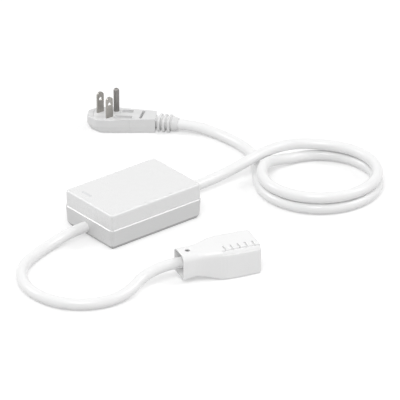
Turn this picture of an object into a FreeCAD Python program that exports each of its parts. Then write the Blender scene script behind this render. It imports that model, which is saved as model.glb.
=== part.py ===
"""In-line smart switch module: a two-shell box in a cord, with a flat plug and a moulded connector.

Frame: millimetres. The origin is the middle of the box's underside, +X runs along the box to the
input cord, +Y to its far long side, +Z up. Everything lies on the plane Z = 0.
"""
import FreeCAD
import Part
import math
import os

Vec = FreeCAD.Vector
UP = Vec(0, 0, 1)

# Housing
body_length = 90.0
body_width = 60.0
body_height = 30.0
seam_height = 17.0
wall = 2.4
floor_thickness = 2.4
roof_thickness = 2.4
corner_radius = 2.8
top_edge_radius = 1.8
lower_draft = 0.7
foot_height = 3.0
foot_inset = 2.0
lower_seam_chamfer = 0.8
upper_seam_chamfer = 0.12
upper_step = 0.6
lip_height = 1.4
lip_thickness = 1.0
fit_clearance = 0.15

# Self-tapping screws of the housing
boss_radius = 4.2
boss_overlap = 0.4
screw_radius = 1.25
screw_head_radius = 2.7
screw_head_height = 1.8
screw_seat_height = 8.0
screw_grip = 6.0
screw_slot_width = 0.8
screw_slot_depth = 0.7
hole_clearance = 0.2
thread_clearance = 0.05

# Cord, its conductors and where it goes through the end walls
cord_diameter = 8.8
cord_exit_y = 3.5
cord_exit_z = 7.8
jacket_inside = 9.5
jacket_clearance = 0.05
lead_radius = 1.4
lead_side = 2.0
lead_rise = 1.0
ground_drop = 2.1
ground_channel_shift = 0.2
ground_channel_height = 2.0
splice_half_length = 5.0
splice_radius = 2.0
lead_end_share = 0.9

# Clamp bars over the jackets
clamp_width = 5.0
clamp_from_wall = 1.1
clamp_span = 22.0
clamp_screw_offset = 8.2
clamp_gap = 1.2
clamp_cover = 2.4

# Circuit board
board_length = 50.0
board_depth = 45.0
board_thickness = 1.6
board_centre_x = -1.0
board_centre_y = -2.5
standoff_height = 1.6
standoff_radius = 2.6
board_hole_inset = 2.8
board_screw_radius = 1.0
board_screw_head_radius = 2.0
board_screw_head_height = 1.4
board_screw_length = 4.0

# Terminal blocks
terminal_length = 8.0
terminal_depth = 9.2
terminal_height = 9.0
terminal_edge_gap = 1.0
terminal_hole_depth = 4.5
terminal_screw_radius = 1.6
terminal_screw_sunk = 1.0
terminal_edge_chamfer = 0.6

# Fuse in its clips
fuse_y = 12.6
fuse_x0 = -2.0
fuse_length = 20.0
fuse_glass_radius = 2.3
fuse_cap_radius = 2.6
fuse_cap_length = 5.0
fuse_lift = 3.4
fuse_clip_length = 3.0
fuse_clip_half_width = 3.2
fuse_clip_above_axis = 1.2

# Varistor, film capacitor, bridge rectifier and bulk capacitors
varistor_x = 2.0
varistor_y = 4.2
varistor_radius = 5.0
varistor_thickness = 3.8
varistor_lift = 0.8
varistor_leg_offset = 2.5
varistor_leg_radius = 0.4
film_x0 = 8.6
film_y0 = -4.6
film_length = 12.5
film_width = 5.2
film_height = 11.0
bridge_x0 = -11.0
bridge_y0 = 3.6
bridge_length = 5.5
bridge_width = 4.5
bridge_height = 2.7
can_places = [(-6.6, -3.0), (2.4, -3.0)]
can_radius = 4.0
can_height = 12.0
can_groove_height = 1.6
can_groove_width = 0.8
can_groove_depth = 0.35

# Supply transformer: an E-shaped core around a bobbin
transformer_x = 15.6
transformer_y = -12.0
transformer_lift = 1.0
core_half_width = 6.5
core_half_depth = 3.0
core_outer_leg = 1.8
core_centre_leg = 2.0
core_yoke = 2.0
winding_room = 6.8
winding_half_depth = 5.8
cheek_half_depth = 6.2
cheek_thickness = 0.55
sleeve_wall_and_gap = 0.7

# Control chips, resistors and the radio board
controller_x0 = -20.3
controller_y0 = 9.6
controller_side = 6.8
controller_height = 1.1
driver_x0 = -10.4
driver_y0 = 9.4
driver_length = 4.8
driver_width = 3.8
driver_height = 1.5
driver_leg_places = [-10.1, -8.9, -7.6, -6.4]
resistor_x0 = -13.8
resistor_rows = [-6.0, -4.0, -2.0, 0.0, 2.0, 4.0]
resistor_length = 2.0
resistor_width = 1.25
resistor_height = 0.6
radio_x0 = -25.0
radio_y0 = -18.6
radio_length = 9.8
radio_depth = 15.0
radio_thickness = 0.8
shield_margin = 0.6
shield_depth = 9.6
shield_height = 2.2
antenna_margin = 1.4
antenna_depth = 1.6
antenna_height = 1.2

# Relay
relay_length = 20.0
relay_width = 16.0
relay_height = 16.0
relay_wall = 0.8
relay_x = -3.0
relay_y = -16.2
relay_base_height = 2.0
yoke_thickness = 1.2
yoke_width = 8.0
core_radius = 2.2
core_head_radius = 3.2
core_head_height = 1.0
core_offset = 0.7
bobbin_side = 10.0
bobbin_cheek = 0.8
bobbin_wall = 0.6
winding_radius = 4.8
armature_thickness = 1.0
armature_height = 11.4
armature_reach = 11.3
armature_swing = 3.0
armature_gap = 0.1
contact_leaf = 0.3
contact_width = 4.0
contact_radius = 1.2
contact_overhang = 2.5
contact_gap = 0.08
pin_radius = 0.5

# Pairing button and its tact switch
button_x = -9.0
button_radius = 3.0
button_flange = 0.8
button_flange_thickness = 1.0
button_recess = 0.2
button_travel = 0.4
button_stem_radius = 1.6
button_rest_gap = 0.1
tact_side = 6.0
tact_height = 4.8
tact_plunger_radius = 1.2
tact_plunger_out = 1.2
tact_plunger_in = 1.6

# Status window in the roof
window_from_end = 9.0
window_y = 12.9
window_width = 2.0
window_length = 11.0
window_flange = 0.9
window_flange_thickness = 1.0
guide_width = 3.0
guide_height = 18.0
status_led_from_edge = 2.0
status_led_height = 1.4

# Flat plug
plug_heading = -44.0
plug_place = Vec(84.6, 146.4, 0)
plug_height = 12.2
plug_nose = 13.1
plug_half_width = 12.4
plug_shoulder = 8.0
plug_tail = 43.2
plug_tail_half_width = 8.0
nose_front_half = 5.4
nose_side_start = -5.1
nose_front_radius = 2.9
nose_side_radius = 1.2
plug_top_radius = 0.9
plug_bottom_radius = 1.2
nose_rise = 5.5
nose_inset = 3.2
nose_low_front_half = 4.8
nose_low_side_start = -1.8
side_low_inset = 1.2
plug_cord_z = 6.2
relief_length = 19.2
relief_bend = -9.0
relief_ribs = 3
relief_rib_width = 2.1
relief_rib_pitch = 4.1
relief_first_rib = 2.7
relief_rib_half_width = 8.1
relief_rib_corner = 4.6
relief_wall = 0.6
relief_core_wall = 1.0
relief_cone_wall = 2.0
relief_clearance = 0.2
carrier_half_width = 10.0
carrier_front = 8.2
carrier_back = 13.6
carrier_corner = 6.0
carrier_floor = 2.4
prong_turn = 42.0
blade_spacing = 12.7
ground_offset = 11.9
blade_width = 6.35
blade_thickness = 1.5
blade_length = 18.2
blade_hole_radius = 1.6
blade_hole_height = 12.0
ground_radius = 2.4
ground_root_radius = 2.0
ground_length = 20.6
pin_root = 8.0
blades_x = 1.3
blades_y = -2.2
trench_near_front = 9.3
trench_far_front = 14.2
trench_back = 24.2
trench_half_width = 8.0
trench_depth = 2.6
trench_corner = 1.2
spine_half_width = 3.0
part_line_x = 22.2
part_line_width = 0.7
part_line_depth = 0.35
slot_x = 31.8
slot_width = 2.4
slot_half_length = 7.2
slot_depth = 4.0
slot_slant = 8.0
plug_jacket_depth = 7.2
plug_wire_spread = 2.9
plug_wire_gap = 0.6

# Moulded connector
connector_heading = -17.7
connector_place = Vec(-32.4, -96.8, 0)
connector_length = 62.0
connector_cord_z = 13.5
neck_half_width = 10.0
neck_bottom = 2.7
neck_rise = 1.4
neck_top = 22.8
neck_corner = 5.0
neck_low_corner = 1.2
neck_recess_wall = 0.8
neck_recess_depth = 11.0
head_half_width = 15.0
head_height = 24.6
head_corner = 5.5
head_low_corner = 1.4
head_bulge = 1.1
bulge_middle = 44.0
bulge_reach = 22.0
flare_start = 9.5
flare_end = 34.0
connector_edge_radius = 1.4
connector_jacket_depth = 22.0
insert_half_width = 11.5
insert_height = 19.8
insert_corner = 4.0
insert_length = 23.6
insert_setback = 0.2
insert_wall = 1.8
slot_opening = 2.0
slot_opening_height = 7.4
blade_row_z = 6.8
contact_room = 2.2
contact_sheet = 0.5
contact_length = 16.0
sleeve_clearance = 0.05
sleeve_wall = 0.5
sleeve_length = 17.0
ground_mouth_radius = 2.6
core_hole_x = 7.0
core_hole_radius = 2.1
core_hole_depth = 2.0
grip_step_start = 29.9
grip_step_depth = 0.9
grip_step_low = 20.6
grip_inner = 6.4
grip_outer = 12.4
grip_grooves = 5
grip_groove_first = 32.4
grip_groove_pitch = 5.95
grip_groove_width = 1.5
grip_groove_depth = 1.6
connector_wire_spread = 1.9
connector_wire_low = 1.2
connector_wire_high = 2.2
connector_wire_straight = 4.0
connector_wire_run_in = 3.0

# Cord routes: points chosen by hand, in the object's frame
arc_share = 0.45
coil_centre_top = Vec(150.9, -47.3, 0)
coil_radius_top = 46.6
coil_centre_floor = Vec(151.0, -47.2, 0)
coil_radius_floor = 47.2
coil_turned = 664.0
coil_layer_gap = 0.5
coil_entry_z = 15.1
settle_end = 60.0
coil_entry_out = 4.6
entry_end = 50.0
coil_tuck = 1.8
tuck_start = 270.0
tuck_full = 330.0
tuck_easing = 350.0
tuck_end = 400.0
drop_start = 320.0
drop_end = 376.0
blend_start = 335.0
blend_end = 430.0
hump_points = [Vec(62.0, 3.5, 7.8), Vec(86.0, 3.6, 8.3), Vec(104.0, 2.6, 11.2), Vec(122.0, 2.2, 14.5),
               Vec(134.0, 3.9, 15.1)]
tail_points = [Vec(141.0, 22.0, 4.4), Vec(144.7, 40.7, 4.4), Vec(144.3, 59.1, 4.4), Vec(142.3, 74.2, 4.4)]
output_points = [
    Vec(-58.5, 3.5, 7.8),
    Vec(-74.5, 3.0, 5.2),
    Vec(-96.2, -2.3, 4.4),
    Vec(-118.2, -12.0, 4.4),
    Vec(-132.4, -30.0, 4.4),
    Vec(-138.0, -50.9, 4.4),
    Vec(-134.1, -72.8, 4.4),
    Vec(-121.2, -89.6, 4.4),
    Vec(-102.2, -98.6, 4.4),
    Vec(-81.8, -98.3, 5.6),
    Vec(-64.0, -91.4, 9.8),
]

half_length = body_length / 2
half_width = body_width / 2
cord_radius = cord_diameter / 2
inner_x = half_length - wall
inner_y = half_width - wall
inner_top = body_height - roof_thickness
board_bottom = floor_thickness + standoff_height
board_top = board_bottom + board_thickness
board_x0 = board_centre_x - board_length / 2
board_x1 = board_centre_x + board_length / 2
board_y0 = board_centre_y - board_depth / 2
board_y1 = board_centre_y + board_depth / 2
boss_x = inner_x - boss_radius + boss_overlap
boss_y = inner_y - boss_radius + boss_overlap
jacket_end = half_length - jacket_inside
window_x = window_from_end - half_length
status_led_x = board_x0 + status_led_from_edge
lead_z = cord_exit_z + lead_rise
ground_lead_z = cord_exit_z - ground_drop


def block(x0, x1, y0, y1, z0, z1):
    return Part.makeBox(x1 - x0, y1 - y0, z1 - z0, Vec(x0, y0, z0))


def rod(radius, start, end):
    return Part.makeCylinder(radius, (end - start).Length, start, end - start)


def rounded_rectangle(x0, x1, y0, y1, z, radius, low_radius=None):
    """A closed wire of four lines and four quarter arcs, level at height z."""
    low = radius if low_radius is None else low_radius
    edges = []
    corners = [(x1 - low, y0 + low, -90, low), (x1 - radius, y1 - radius, 0, radius),
               (x0 + radius, y1 - radius, 90, radius), (x0 + low, y0 + low, 180, low)]
    ends = []
    for cx, cy, start, size in corners:
        arc = Part.makeCircle(size, Vec(cx, cy, z), UP, start, start + 90)
        edges.append(arc)
        ends.append((arc.valueAt(arc.FirstParameter), arc.valueAt(arc.LastParameter)))
    sides = [Part.makeLine(ends[i][1], ends[(i + 1) % 4][0]) for i in range(4)]
    loop = [piece for pair in zip(edges, sides) for piece in pair]
    return Part.Wire(loop)


def rounded_block(x0, x1, y0, y1, z0, z1, radius):
    face = Part.Face(rounded_rectangle(x0, x1, y0, y1, z0, radius))
    return face.extrude(Vec(0, 0, z1 - z0))


def tapered_block(low, high, z0, z1):
    """A loft between two rounded rectangles, each given as (half length, half width, radius)."""
    wires = [rounded_rectangle(-hx, hx, -hy, hy, z, radius)
             for (hx, hy, radius), z in ((low, z0), (high, z1))]
    return Part.makeLoft(wires, True, True)


def prism(outline, z0, z1):
    points = [Vec(x, y, z0) for x, y in outline]
    return Part.Face(Part.makePolygon(points + points[:1])).extrude(Vec(0, 0, z1 - z0))


def edges_where(shape, test):
    """The edges whose middle and ends all pass a test on their points."""
    chosen = []
    for edge in shape.Edges:
        middle = edge.valueAt((edge.FirstParameter + edge.LastParameter) / 2)
        if all(test(point) for point in [middle] + [vertex.Point for vertex in edge.Vertexes]):
            chosen.append(edge)
    return chosen


def unite(shapes):
    return shapes[0].multiFuse(shapes[1:]).removeSplitter()


def group(shapes):
    return Part.makeCompound(shapes)


def ends_of_box(make):
    """The same piece at the input end (side 1) and at the output end (side -1)."""
    return {1: make(1), -1: make(-1)}


def save(node, shape):
    shape.exportStep("parts/%s.step" % node)


def self_tapping_screw(x, y, head_low, head_radius, head_height, shank_radius, shank_end):
    """A pan-head screw along Z; its shank runs from the head towards shank_end."""
    head_high = head_low + head_height
    head = rod(head_radius, Vec(x, y, head_low), Vec(x, y, head_high))
    upward = shank_end > head_high
    seat = head_high if upward else head_low
    top = head_low if upward else head_high
    shank = rod(shank_radius, Vec(x, y, seat), Vec(x, y, shank_end))
    inward = screw_slot_depth if upward else -screw_slot_depth
    low, high = sorted((top, top + inward))
    slot = block(x - head_radius, x + head_radius, y - screw_slot_width / 2, y + screw_slot_width / 2,
                 low, high)
    return head.fuse(shank).cut(slot)


# Lower shell: floor, tapering walls, lip, bosses, standoffs, cord holes and cradles

screw_places = [(sx * boss_x, sy * boss_y) for sx in (-1, 1) for sy in (-1, 1)]
board_holes = [(x, y) for x in (board_x0 + board_hole_inset, board_x1 - board_hole_inset)
               for y in (board_y0 + board_hole_inset, board_y1 - board_hole_inset)]
button_z = board_top + tact_height / 2
clamp_outer = inner_x - clamp_from_wall
clamp_inner = clamp_outer - clamp_width
cradle_top = cord_exit_z - clamp_gap / 2
clamp_screw_bottom = floor_thickness + 0.6


def make_lower_shell():
    inset = lower_draft + foot_inset
    foot = tapered_block((half_length - inset, half_width - inset, corner_radius - foot_inset),
                         (half_length - lower_draft, half_width - lower_draft, corner_radius),
                         0, foot_height)
    sides = tapered_block((half_length - lower_draft, half_width - lower_draft, corner_radius),
                          (half_length, half_width, corner_radius),
                          foot_height, seam_height - lower_seam_chamfer)
    seam_edge = tapered_block((half_length, half_width, corner_radius),
                              (half_length - lower_seam_chamfer, half_width - lower_seam_chamfer,
                               corner_radius - lower_seam_chamfer),
                              seam_height - lower_seam_chamfer, seam_height)
    outside = unite([foot, sides, seam_edge])
    inner_corner = corner_radius - wall
    cavity = rounded_block(-inner_x, inner_x, -inner_y, inner_y, floor_thickness, seam_height, inner_corner)
    lip = rounded_block(-inner_x - lip_thickness, inner_x + lip_thickness,
                        -inner_y - lip_thickness, inner_y + lip_thickness,
                        seam_height, seam_height + lip_height, inner_corner + lip_thickness)
    lip = lip.cut(rounded_block(-inner_x, inner_x, -inner_y, inner_y,
                                seam_height, seam_height + lip_height, inner_corner))
    added = [lip]
    removed = []
    for x, y in screw_places:
        added.append(rod(boss_radius, Vec(x, y, 0.5), Vec(x, y, seam_height)))
        removed.append(rod(screw_head_radius + hole_clearance, Vec(x, y, 0),
                           Vec(x, y, screw_seat_height)))
        removed.append(rod(screw_radius + hole_clearance, Vec(x, y, 0), Vec(x, y, seam_height)))
    for x, y in board_holes:
        added.append(rod(standoff_radius, Vec(x, y, 1), Vec(x, y, board_bottom)))
        bottom = board_top - board_screw_length - 0.2
        removed.append(rod(board_screw_radius + thread_clearance, Vec(x, y, bottom), Vec(x, y, board_bottom)))
    for side in (1, -1):
        x0, x1 = sorted((side * clamp_inner, side * clamp_outer))
        added.append(block(x0, x1, cord_exit_y - clamp_span / 2, cord_exit_y + clamp_span / 2,
                           1, cradle_top))
        removed.append(rod(cord_radius + jacket_clearance,
                           Vec(side * (clamp_inner - 1), cord_exit_y, cord_exit_z),
                           Vec(side * (half_length + 1), cord_exit_y, cord_exit_z)))
        for across in (-clamp_screw_offset, clamp_screw_offset):
            x = side * (clamp_inner + clamp_outer) / 2
            y = cord_exit_y + across
            removed.append(rod(screw_radius + thread_clearance, Vec(x, y, clamp_screw_bottom),
                               Vec(x, y, cradle_top)))
    removed.append(rod(button_radius + fit_clearance, Vec(button_x, inner_y - 1, button_z),
                       Vec(button_x, half_width + 1, button_z)))
    shell = outside.cut(cavity).multiFuse(added)
    return shell.cut(group(removed)).removeSplitter()


save_later = {"lower_shell": make_lower_shell()}


# Upper shell: roof, walls rebated over the lip, screw bosses and the window slot

def make_upper_shell():
    crown_x = half_length - upper_step
    crown_y = half_width - upper_step
    crown_corner = corner_radius - upper_step
    seam_edge = tapered_block((crown_x - upper_seam_chamfer, crown_y - upper_seam_chamfer,
                               crown_corner - upper_seam_chamfer),
                              (crown_x, crown_y, crown_corner),
                              seam_height, seam_height + upper_seam_chamfer)
    crown = rounded_block(-crown_x, crown_x, -crown_y, crown_y,
                          seam_height + upper_seam_chamfer, body_height, crown_corner)
    crown = crown.makeFillet(top_edge_radius, edges_where(crown, lambda p: p.z > body_height - 0.01))
    inner_corner = corner_radius - wall
    cavity = rounded_block(-inner_x, inner_x, -inner_y, inner_y, seam_height, inner_top, inner_corner)
    reach = lip_thickness + fit_clearance
    rebate = rounded_block(-inner_x - reach, inner_x + reach, -inner_y - reach, inner_y + reach,
                           seam_height, seam_height + lip_height + fit_clearance, inner_corner + reach)
    shell = unite([seam_edge, crown]).cut(group([cavity, rebate]))
    bosses = []
    holes = []
    boss_top = inner_top + roof_thickness / 2
    for x, y in screw_places:
        boss = rod(boss_radius, Vec(x, y, seam_height), Vec(x, y, boss_top))
        below_rebate = block(-inner_x, inner_x, -inner_y, inner_y, seam_height, boss_top)
        bosses.append(boss.common(below_rebate))
        holes.append(rod(screw_radius + thread_clearance, Vec(x, y, seam_height),
                         Vec(x, y, seam_height + screw_grip + 1)))
    slot = block(window_x - window_width / 2 - fit_clearance, window_x + window_width / 2 + fit_clearance,
                 window_y - window_length / 2 - fit_clearance, window_y + window_length / 2 + fit_clearance,
                 inner_top - 1, body_height + 1)
    return shell.multiFuse(bosses).cut(group(holes + [slot])).removeSplitter()


save_later["upper_shell"] = make_upper_shell()


# Housing screws, driven from below into the upper bosses

def make_housing_screws():
    return group([self_tapping_screw(x, y, screw_seat_height - screw_head_height, screw_head_radius,
                                     screw_head_height, screw_radius, seam_height + screw_grip)
                  for x, y in screw_places])


save_later["housing_screws"] = make_housing_screws()


# Status window: a clear light guide that drops from the roof and steps across to its LED

def make_status_window():
    half = window_width / 2
    bar = block(window_x - half, window_x + half, window_y - window_length / 2,
                window_y + window_length / 2, inner_top, body_height)
    flange = block(window_x - half - window_flange, window_x + half + window_flange,
                   window_y - window_length / 2 - window_flange, window_y + window_length / 2 + window_flange,
                   inner_top - window_flange_thickness, inner_top)
    y0 = window_y - guide_width / 2
    y1 = window_y + guide_width / 2
    stem = block(window_x - half, window_x + half, y0, y1, guide_height, inner_top - window_flange_thickness)
    arm = block(window_x - half, status_led_x + half, y0, y1, guide_height, guide_height + window_width)
    led_top = board_top + status_led_height
    foot = block(status_led_x - half, status_led_x + half, y0, y1, led_top + 0.3, guide_height)
    return unite([bar, flange, stem, arm, foot])


save_later["status_window"] = make_status_window()


# Cord clamps, their screws, and the jacket ends that they hold

def make_clamp(side):
    x0, x1 = sorted((side * clamp_inner, side * clamp_outer))
    bar = block(x0, x1, cord_exit_y - clamp_span / 2, cord_exit_y + clamp_span / 2,
                cord_exit_z + clamp_gap / 2, cord_exit_z + cord_radius + clamp_cover)
    groove = rod(cord_radius + jacket_clearance, Vec(x0 - 1, cord_exit_y, cord_exit_z),
                 Vec(x1 + 1, cord_exit_y, cord_exit_z))
    holes = []
    for across in (-clamp_screw_offset, clamp_screw_offset):
        foot = Vec((x0 + x1) / 2, cord_exit_y + across, cord_exit_z)
        holes.append(rod(screw_radius + hole_clearance, foot, foot + UP * (cord_radius + clamp_cover + 1)))
    return bar.cut(group([groove] + holes))


def make_clamp_screws():
    seat = cord_exit_z + cord_radius + clamp_cover
    screws = []
    for side in (1, -1):
        for across in (-clamp_screw_offset, clamp_screw_offset):
            x = side * (clamp_inner + clamp_outer) / 2
            screws.append(self_tapping_screw(x, cord_exit_y + across, seat, screw_radius * 1.7,
                                             screw_head_height, screw_radius, clamp_screw_bottom + 0.4))
    return group(screws)


def make_jacket_end(side):
    return rod(cord_radius, Vec(side * jacket_end, cord_exit_y, cord_exit_z),
               Vec(side * half_length, cord_exit_y, cord_exit_z))


clamps = ends_of_box(make_clamp)
jackets = ends_of_box(make_jacket_end)
save_later["input_cord_clamp"] = clamps[1]
save_later["output_cord_clamp"] = clamps[-1]
save_later["box_jacket_ends"] = group([jackets[1], jackets[-1]])


# Circuit board, its screws and the terminal blocks

terminal_faces = {1: board_x1 - terminal_edge_gap, -1: board_x0 + terminal_edge_gap}
relay_x0 = relay_x - relay_length / 2
relay_x1 = relay_x + relay_length / 2
relay_y0 = relay_y - relay_width / 2
relay_y1 = relay_y + relay_width / 2
relay_pin_places = [(relay_x0 + 1.7, relay_y0 + 2.5), (relay_x0 + 1.7, relay_y1 - 2.5),
                    (relay_x1 - 1.7, relay_y0 + 2.5), (relay_x1 - 1.7, relay_y1 - 2.5)]
relay_pin_bottom = board_bottom - 0.8


def make_board():
    board = rounded_block(board_x0, board_x1, board_y0, board_y1, board_bottom, board_top, 1.0)
    holes = [rod(board_screw_radius + hole_clearance, Vec(x, y, board_bottom), Vec(x, y, board_top))
             for x, y in board_holes]
    holes += [rod(pin_radius + thread_clearance, Vec(x, y, board_bottom), Vec(x, y, board_top))
              for x, y in relay_pin_places]
    return board.cut(group(holes))


def make_board_screws():
    return group([self_tapping_screw(x, y, board_top, board_screw_head_radius, board_screw_head_height,
                                     board_screw_radius, board_top - board_screw_length)
                  for x, y in board_holes])


def make_terminal_block(side):
    face = terminal_faces[side]
    back = face - side * terminal_length
    x0, x1 = sorted((face, back))
    housing = block(x0, x1, cord_exit_y - terminal_depth / 2, cord_exit_y + terminal_depth / 2,
                    board_top, board_top + terminal_height)
    top_edges = edges_where(housing, lambda p: p.z > board_top + terminal_height - 0.01)
    housing = housing.makeChamfer(terminal_edge_chamfer, top_edges)
    holes = []
    for across in (-lead_side, lead_side):
        mouth = Vec(face, cord_exit_y + across, lead_z)
        hole_end = mouth - Vec(side * terminal_hole_depth, 0, 0)
        holes.append(rod(lead_radius + thread_clearance, mouth, hole_end))
        screw_x = face - side * terminal_hole_depth / 2
        holes.append(rod(terminal_screw_radius + thread_clearance,
                         Vec(screw_x, cord_exit_y + across, lead_z),
                         Vec(screw_x, cord_exit_y + across, board_top + terminal_height)))
    return housing.cut(group(holes))


def make_terminal_screws():
    screws = []
    for side in (1, -1):
        x = terminal_faces[side] - side * terminal_hole_depth / 2
        for across in (-lead_side, lead_side):
            y = cord_exit_y + across
            top = board_top + terminal_height - terminal_screw_sunk
            screw = rod(terminal_screw_radius, Vec(x, y, lead_z + lead_radius + thread_clearance),
                        Vec(x, y, top))
            slot = block(x - 2, x + 2, y - screw_slot_width / 2, y + screw_slot_width / 2,
                         top - screw_slot_depth, top)
            screws.append(screw.cut(slot))
    return group(screws)


blocks = ends_of_box(make_terminal_block)
save_later["circuit_board"] = make_board()
save_later["inner_screws"] = group([make_board_screws(), make_clamp_screws()])
save_later["terminal_blocks"] = group([blocks[1], blocks[-1]])
save_later["terminal_screws"] = make_terminal_screws()


# Tubes along straight runs joined by tangent arcs, for conductors and cords

def unit(vector):
    return vector * (1.0 / vector.Length)


def route_edges(points, end_share=None):
    """Runs and arcs through the points, with each arc's radius; end_share is for the end runs."""
    edges = []
    radii = []
    here = points[0]
    shares = [arc_share] * (len(points) - 1)
    if end_share is not None:
        shares[0] = end_share
        shares[-1] = end_share
    for i, (before, corner, after) in enumerate(zip(points, points[1:], points[2:])):
        back = unit(before - corner)
        ahead = unit(after - corner)
        half_turn = (math.pi - back.getAngle(ahead)) / 2
        trim = min(shares[i] * (before - corner).Length, shares[i + 1] * (after - corner).Length)
        radius = trim / math.tan(half_turn)
        start = corner + back * trim
        end = corner + ahead * trim
        middle = corner + unit(back + ahead) * (radius / math.cos(half_turn) - radius)
        edges.append(Part.LineSegment(here, start).toShape())
        edges.append(Part.Arc(start, middle, end).toShape())
        radii.append(radius)
        here = end
    edges.append(Part.LineSegment(here, points[-1]).toShape())
    return edges, radii


def sweep(edges, radius):
    path = Part.Wire(edges)
    start = edges[0].valueAt(edges[0].FirstParameter)
    heading = edges[0].tangentAt(edges[0].FirstParameter)
    ring = Part.Wire([Part.makeCircle(radius, start, heading)])
    return path.makePipeShell([ring], True, False), path.Length


def tube(points, radius, end_share=None):
    edges, radii = route_edges(points, end_share)
    solid, length = sweep(edges, radius)
    return solid, length, radii


# Conductors: line and neutral to the terminals, ground past the board to its splice

ground_channel_y = (board_y1 + inner_y) / 2 + ground_channel_shift
ground_channel_z = floor_thickness + ground_channel_height


def make_straight_lead(side, across):
    face = terminal_faces[side]
    return rod(lead_radius, Vec(side * jacket_end, cord_exit_y + across, lead_z),
               Vec(face - side * (terminal_hole_depth - 0.4), cord_exit_y + across, lead_z))


def make_ground_lead(side):
    board_end = board_x1 if side > 0 else board_x0
    turn_x = (side * jacket_end + board_end) / 2
    points = [Vec(side * jacket_end, cord_exit_y, ground_lead_z),
              Vec(turn_x, cord_exit_y, ground_lead_z),
              Vec(turn_x, ground_channel_y, ground_channel_z),
              Vec(side * splice_half_length, ground_channel_y, ground_channel_z)]
    solid, _, _ = tube(points, lead_radius, lead_end_share)
    return solid


save_later["line_leads"] = group([make_straight_lead(side, -lead_side) for side in (1, -1)])
save_later["neutral_leads"] = group([make_straight_lead(side, lead_side) for side in (1, -1)])
save_later["ground_leads"] = group([make_ground_lead(side) for side in (1, -1)])
save_later["ground_splice"] = rod(splice_radius, Vec(-splice_half_length, ground_channel_y, ground_channel_z),
                                  Vec(splice_half_length, ground_channel_y, ground_channel_z))


# Power supply: fuse in its clips, varistor, film capacitor, bridge, capacitors and transformer

def make_fuse():
    axis_z = board_top + fuse_lift
    glass = rod(fuse_glass_radius, Vec(fuse_x0 + 1, fuse_y, axis_z),
                Vec(fuse_x0 + fuse_length - 1, fuse_y, axis_z))
    caps = [rod(fuse_cap_radius, Vec(x, fuse_y, axis_z), Vec(x + fuse_cap_length, fuse_y, axis_z))
            for x in (fuse_x0, fuse_x0 + fuse_length - fuse_cap_length)]
    return unite([glass] + caps)


def make_fuse_clips():
    axis_z = board_top + fuse_lift
    clips = []
    for x in (fuse_x0 + 1, fuse_x0 + fuse_length - fuse_cap_length + 1):
        clip = block(x, x + fuse_clip_length, fuse_y - fuse_clip_half_width, fuse_y + fuse_clip_half_width,
                     board_top, axis_z + fuse_clip_above_axis)
        seat = rod(fuse_cap_radius + thread_clearance, Vec(x - 1, fuse_y, axis_z),
                   Vec(x + fuse_clip_length + 1, fuse_y, axis_z))
        clips.append(clip.cut(seat))
    return group(clips)


def make_varistor():
    centre = Vec(varistor_x, varistor_y, board_top + varistor_lift + varistor_radius)
    disc = rod(varistor_radius, centre, centre + Vec(0, varistor_thickness, 0))
    disc = disc.makeFillet(1.2, disc.Edges[:1] + disc.Edges[2:3])
    legs = []
    for x in (varistor_x - varistor_leg_offset, varistor_x + varistor_leg_offset):
        foot = Vec(x, varistor_y + varistor_thickness / 2, board_top)
        legs.append(rod(varistor_leg_radius, foot, foot + UP * varistor_radius))
    return unite([disc] + legs)


def make_film_capacitor():
    case = block(film_x0, film_x0 + film_width, film_y0, film_y0 + film_length,
                 board_top, board_top + film_height)
    return case.makeFillet(0.6, edges_where(case, lambda p: p.z > board_top + film_height - 0.01))


def make_bridge_rectifier():
    top = board_top + bridge_height
    body = block(bridge_x0, bridge_x0 + bridge_length, bridge_y0, bridge_y0 + bridge_width,
                 board_top + 0.2, top)
    body = body.makeChamfer(0.4, edges_where(body, lambda p: p.z > top - 0.01))
    legs = [block(x, x + 0.9, y, y + 1.2, board_top, board_top + 1.0)
            for x in (bridge_x0 + 0.8, bridge_x0 + 3.8)
            for y in (bridge_y0 - 0.7, bridge_y0 + bridge_width - 0.5)]
    return unite([body] + legs)


def make_bulk_capacitors():
    cans = []
    for x, y in can_places:
        foot = Vec(x, y, board_top)
        can = rod(can_radius, foot, foot + UP * can_height)
        can = can.makeFillet(0.5, edges_where(can, lambda p: p.z > board_top + can_height - 0.01))
        low = foot + UP * can_groove_height
        high = low + UP * can_groove_width
        groove = rod(can_radius + 1, low, high).cut(rod(can_radius - can_groove_depth, low, high))
        cans.append(can.cut(groove))
    return group(cans)


core_bottom = board_top + transformer_lift
winding_bottom = core_bottom + core_yoke
winding_top = winding_bottom + winding_room
cheek_half = core_half_width - core_outer_leg - thread_clearance * 2


def around_transformer(half_x, half_y, z0, z1):
    return block(transformer_x - half_x, transformer_x + half_x,
                 transformer_y - half_y, transformer_y + half_y, z0, z1)


def make_transformer_core():
    whole = around_transformer(core_half_width, core_half_depth, core_bottom, winding_top + core_yoke)
    rooms = around_transformer(core_half_width - core_outer_leg, core_half_depth + 1,
                               winding_bottom, winding_top)
    rooms = rooms.cut(around_transformer(core_centre_leg, core_half_depth + 2, winding_bottom, winding_top))
    return whole.cut(rooms)


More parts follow.
